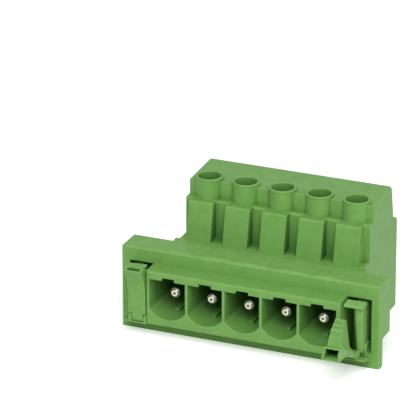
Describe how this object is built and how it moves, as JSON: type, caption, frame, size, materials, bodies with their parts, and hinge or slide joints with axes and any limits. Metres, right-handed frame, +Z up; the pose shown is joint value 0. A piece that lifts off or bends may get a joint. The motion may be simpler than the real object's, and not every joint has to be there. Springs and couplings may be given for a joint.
{
  "type": "pluggable panel feed-through terminal block",
  "caption": "Panel feed-through terminal block: a shrouded pin header with swing-out locking latches in front of the panel, screw clamps in towers and wire entries behind it.",
  "frame": {"origin": "middle pin's axis at the plane where the flange seats against the panel", "axes": "+X along the row of poles, +Y towards the wire entries behind the panel, +Z up, out of the screw towers"},
  "size_m": [0.053, 0.0433, 0.0266],
  "materials": {
    "housing": "satin moulded polyamide, green",
    "latch": "satin moulded polyamide, green",
    "contact": "tin plated",
    "cage": "zinc plated, folded sheet",
    "screw": "zinc plated, turned"
  },
  "bodies": {
    "block": {"front_housing": "housing", "rear_housing": "housing", "contact_pin_1": "contact", "contact_pin_2": "contact", "contact_pin_3": "contact", "contact_pin_4": "contact", "contact_pin_5": "contact"},
    "screw_1": {"clamp_screw_1": "screw"},
    "cage_1": {"clamp_cage_1": "cage"},
    "screw_2": {"clamp_screw_2": "screw"},
    "cage_2": {"clamp_cage_2": "cage"},
    "screw_3": {"clamp_screw_3": "screw"},
    "cage_3": {"clamp_cage_3": "cage"},
    "screw_4": {"clamp_screw_4": "screw"},
    "cage_4": {"clamp_cage_4": "cage"},
    "screw_5": {"clamp_screw_5": "screw"},
    "cage_5": {"clamp_cage_5": "cage"},
    "lever_left": {"latch_lever_left": "latch"},
    "arm_left": {"latch_arm_left": "latch"},
    "lever_right": {"latch_lever_right": "latch"},
    "arm_right": {"latch_arm_right": "latch"}
  },
  "joints": [
    {"name": "screw_turn_1", "type": "hinge", "parent": "block", "child": "screw_1", "pos_m": [-0.01524, 0.0169, 0.009], "axis": [0, 0, 1], "range_deg": [-3024, 0]},
    {"name": "cage_lift_1", "type": "slide", "parent": "block", "child": "cage_1", "axis": [0, 0, 1], "range_m": [0, 0.0042]},
    {"name": "screw_turn_2", "type": "hinge", "parent": "block", "child": "screw_2", "pos_m": [-0.00762, 0.0169, 0.009], "axis": [0, 0, 1], "range_deg": [-3024, 0]},
    {"name": "cage_lift_2", "type": "slide", "parent": "block", "child": "cage_2", "axis": [0, 0, 1], "range_m": [0, 0.0042]},
    {"name": "screw_turn_3", "type": "hinge", "parent": "block", "child": "screw_3", "pos_m": [0, 0.0169, 0.009], "axis": [0, 0, 1], "range_deg": [-3024, 0]},
    {"name": "cage_lift_3", "type": "slide", "parent": "block", "child": "cage_3", "axis": [0, 0, 1], "range_m": [0, 0.0042]},
    {"name": "screw_turn_4", "type": "hinge", "parent": "block", "child": "screw_4", "pos_m": [0.00762, 0.0169, 0.009], "axis": [0, 0, 1], "range_deg": [-3024, 0]},
    {"name": "cage_lift_4", "type": "slide", "parent": "block", "child": "cage_4", "axis": [0, 0, 1], "range_m": [0, 0.0042]},
    {"name": "screw_turn_5", "type": "hinge", "parent": "block", "child": "screw_5", "pos_m": [0.01524, 0.0169, 0.009], "axis": [0, 0, 1], "range_deg": [-3024, 0]},
    {"name": "cage_lift_5", "type": "slide", "parent": "block", "child": "cage_5", "axis": [0, 0, 1], "range_m": [0, 0.0042]},
    {"name": "latch_swing_left", "type": "hinge", "parent": "block", "child": "lever_left", "pos_m": [-0.02173, -0.00305, -0.005], "axis": [1, 0, 0], "range_deg": [0, 60]},
    {"name": "arm_spread_left", "type": "hinge", "parent": "block", "child": "arm_left", "pos_m": [-0.0234, 0, -0.0061], "axis": [0, 1, 0], "range_deg": [0, 3.6]},
    {"name": "latch_swing_right", "type": "hinge", "parent": "block", "child": "lever_right", "pos_m": [0.02173, -0.00305, -0.005], "axis": [1, 0, 0], "range_deg": [-60, 0]},
    {"name": "arm_spread_right", "type": "hinge", "parent": "block", "child": "arm_right", "pos_m": [0.0234, 0, -0.0061], "axis": [0, 1, 0], "range_deg": [0, 3.6]}
  ],
  "couplings": [
    {"joint": "screw_turn_1", "follows": "cage_lift_1", "rad_per_m": -12566},
    {"joint": "screw_turn_2", "follows": "cage_lift_2", "rad_per_m": -12566},
    {"joint": "screw_turn_3", "follows": "cage_lift_3", "rad_per_m": -12566},
    {"joint": "screw_turn_4", "follows": "cage_lift_4", "rad_per_m": -12566},
    {"joint": "screw_turn_5", "follows": "cage_lift_5", "rad_per_m": -12566},
    {"joint": "arm_spread_left", "follows": "latch_swing_left", "ratio": 0.06},
    {"joint": "arm_spread_right", "follows": "latch_swing_right", "ratio": -0.06}
  ]
}
